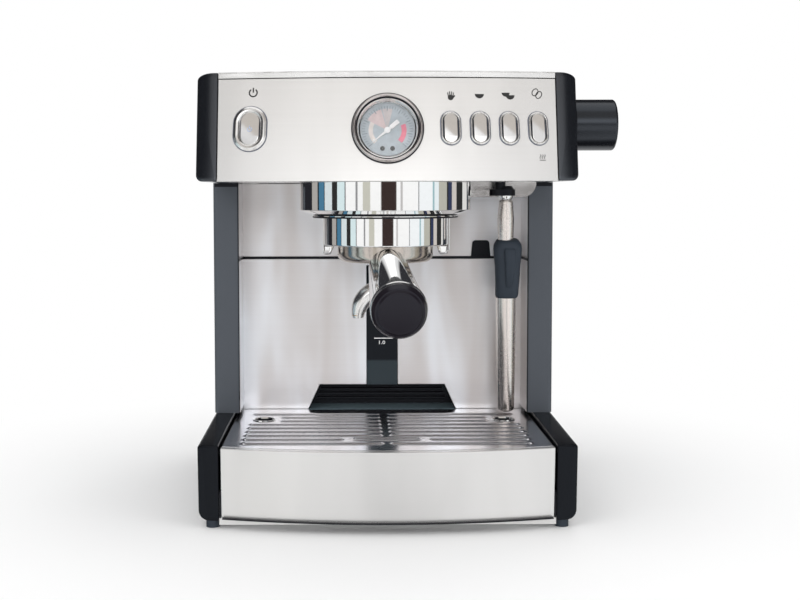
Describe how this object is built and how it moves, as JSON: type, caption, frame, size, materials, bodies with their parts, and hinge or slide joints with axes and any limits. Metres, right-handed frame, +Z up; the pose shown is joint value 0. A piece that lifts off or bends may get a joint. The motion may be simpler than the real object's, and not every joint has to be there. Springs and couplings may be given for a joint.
{
  "type": "espresso machine",
  "caption": "Free-standing espresso machine in bowed brushed steel with dark cheeks, chrome group with portafilter, steam wand, gauge, push buttons and a sliding drip tray",
  "frame": {"origin": "middle of the underside of the box around the whole machine, knob and handle included, at the height of the counter under the feet", "axes": "+X is to the right of a person who faces the machine, +Y runs from that person to the back of the machine, +Z is up"},
  "size_m": [0.3474, 0.4232, 0.372],
  "materials": {
    "steel_sheet": "brushed",
    "polished_metal": "polished",
    "dark_plastic": "fine texture",
    "grey_plastic": "satin",
    "black_plastic": "satin",
    "smoked_plastic": "gloss",
    "tank_plastic": "translucent",
    "button_silver": "metallised",
    "clear_glass": "clear",
    "dial_face": "printed",
    "needle_white": "satin",
    "foot_rubber": "matt",
    "grip_rubber": "soft",
    "valve_brass": "machined",
    "cast_aluminium": "cast",
    "board_green": "laminate"
  },
  "bodies": {
    "chassis": {"feet": "foot_rubber", "base_cheek_left": "dark_plastic", "base_cheek_right": "dark_plastic", "side_panel_left": "grey_plastic", "side_panel_right": "grey_plastic", "head_cheek_left": "dark_plastic", "head_cheek_right": "dark_plastic", "base_pan": "steel_sheet", "corner_posts": "steel_sheet", "tank_shelf": "steel_sheet", "rear_panel": "steel_sheet", "mains_inlet": "black_plastic", "casing_screws": "steel_sheet", "top_cover": "steel_sheet", "head_deck": "steel_sheet", "front_fascia": "steel_sheet", "upper_splash_panel": "steel_sheet", "lower_splash_panel": "steel_sheet", "level_window": "smoked_plastic", "splash_insert": "black_plastic", "power_ring": "polished_metal", "button_rings": "polished_metal", "switch_bank": "black_plastic", "gauge_case": "polished_metal", "gauge_glass": "clear_glass", "gauge_dial": "dial_face", "group_shroud": "polished_metal", "group_body": "polished_metal", "group_collar": "polished_metal", "group_gasket": "foot_rubber", "shower_screen": "polished_metal", "wand_socket": "black_plastic", "wand_bracket": "steel_sheet", "steam_valve": "valve_brass", "brew_boiler": "valve_brass", "steam_boiler": "cast_aluminium", "pump": "black_plastic", "solenoid_valve": "valve_brass", "control_board": "board_green"},
    "gauge_needle": {"gauge_needle": "needle_white"},
    "power_button": {"power_button": "button_silver"},
    "manual_button": {"manual_button": "button_silver"},
    "single_button": {"single_button": "button_silver"},
    "double_button": {"double_button": "button_silver"},
    "hot_water_button": {"hot_water_button": "button_silver"},
    "portafilter": {"portafilter_body": "polished_metal", "filter_basket": "polished_metal", "portafilter_handle": "polished_metal", "handle_cap": "black_plastic", "spout": "polished_metal"},
    "wand_ball": {"wand_ball": "polished_metal"},
    "steam_wand": {"wand_tube": "polished_metal", "wand_sleeve": "polished_metal", "wand_grip": "grip_rubber"},
    "steam_knob": {"steam_knob": "dark_plastic"},
    "drip_tray": {"drip_tray": "black_plastic", "tray_front": "steel_sheet", "drip_grid": "polished_metal"},
    "water_tank": {"water_tank": "tank_plastic"},
    "tank_lid": {"tank_lid": "black_plastic"}
  },
  "joints": [
    {"name": "portafilter_turn", "type": "hinge", "parent": "chassis", "child": "portafilter", "pos_m": [-0.01875, -0.02142, 0.23], "axis": [0, 0, 1], "range_deg": [-50, 0]},
    {"name": "wand_swivel", "type": "hinge", "parent": "chassis", "child": "wand_ball", "pos_m": [0.09065, 0.02228, 0.272], "axis": [0, 0, 1], "range_deg": [-15, 60]},
    {"name": "wand_tilt", "type": "hinge", "parent": "wand_ball", "child": "steam_wand", "pos_m": [0.09065, 0.02228, 0.272], "axis": [-1, 0, 0], "range_deg": [0, 35]},
    {"name": "steam_knob_turn", "type": "hinge", "parent": "chassis", "child": "steam_knob", "pos_m": [0.13625, -0.03342, 0.3306], "axis": [1, 0, 0], "range_deg": [0, 270]},
    {"name": "gauge_needle_swing", "type": "hinge", "parent": "chassis", "child": "gauge_needle", "pos_m": [-0.01875, -0.08996, 0.3254], "axis": [0, 0.9768, -0.2142], "range_deg": [0, 260]},
    {"name": "power_button_press", "type": "slide", "parent": "chassis", "child": "power_button", "axis": [0.145, 0.9665, -0.2119], "range_m": [0, 0.002], "stiffness_N_per_m": 800},
    {"name": "manual_button_press", "type": "slide", "parent": "chassis", "child": "manual_button", "axis": [-0.0664, 0.9746, -0.2137], "range_m": [0, 0.002], "stiffness_N_per_m": 800},
    {"name": "single_button_press", "type": "slide", "parent": "chassis", "child": "single_button", "axis": [-0.0974, 0.9721, -0.2132], "range_m": [0, 0.002], "stiffness_N_per_m": 800},
    {"name": "double_button_press", "type": "slide", "parent": "chassis", "child": "double_button", "axis": [-0.1286, 0.9687, -0.2124], "range_m": [0, 0.002], "stiffness_N_per_m": 800},
    {"name": "hot_water_button_press", "type": "slide", "parent": "chassis", "child": "hot_water_button", "axis": [-0.1597, 0.9643, -0.2114], "range_m": [0, 0.002], "stiffness_N_per_m": 800},
    {"name": "drip_tray_slide", "type": "slide", "parent": "chassis", "child": "drip_tray", "axis": [0, -1, 0], "range_m": [0, 0.2]},
    {"name": "water_tank_lift", "type": "slide", "parent": "chassis", "child": "water_tank", "axis": [0, 0, 1], "range_m": [0, 0.315]},
    {"name": "tank_lid_hinge", "type": "hinge", "parent": "water_tank", "child": "tank_lid", "pos_m": [-0.01875, 0.19398, 0.37], "axis": [1, 0, 0], "range_deg": [-92, 0]}
  ]
}
